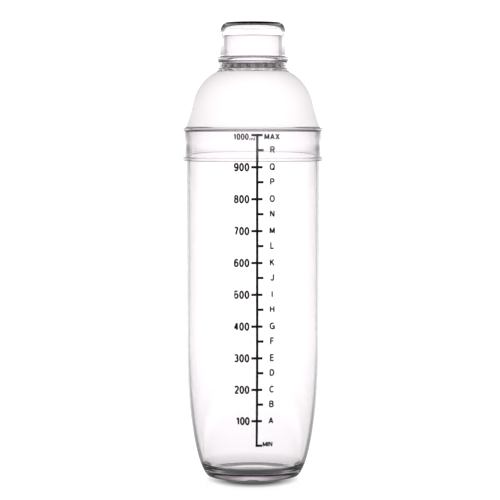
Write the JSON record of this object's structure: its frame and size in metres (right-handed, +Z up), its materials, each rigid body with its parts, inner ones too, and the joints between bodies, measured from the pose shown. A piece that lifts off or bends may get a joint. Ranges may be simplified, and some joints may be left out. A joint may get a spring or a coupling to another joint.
{
  "type": "cocktail shaker",
  "caption": "Clear three-piece drinks shaker: graduated cup with a tapered foot, domed lid with a strainer in its neck, and a push-on cap.",
  "frame": {"origin": "centre of the foot ring's resting face, under the middle of the cup", "axes": "+Z up along the axis of the cup, lid and cap; the printed scale faces -Y, and +X is to the right of someone reading it"},
  "size_m": [0.089, 0.089, 0.2865],
  "materials": {
    "clear_plastic": "polished, see-through",
    "frosted_plastic": "frosted, translucent",
    "black_ink": "screen print"
  },
  "bodies": {
    "cup": {"cup": "clear_plastic", "scale_rule": "black_ink", "scale_numerals": "black_ink", "scale_letters": "black_ink"},
    "lid": {"strainer_lid": "frosted_plastic", "strainer_plate": "clear_plastic"},
    "cap": {"cap": "clear_plastic"}
  },
  "joints": [
    {"name": "lid_lift", "type": "slide", "parent": "cup", "child": "lid", "axis": [0, 0, 1], "range_m": [0, 0.06]},
    {"name": "cap_lift", "type": "slide", "parent": "lid", "child": "cap", "axis": [0, 0, 1], "range_m": [0, 0.04]}
  ]
}
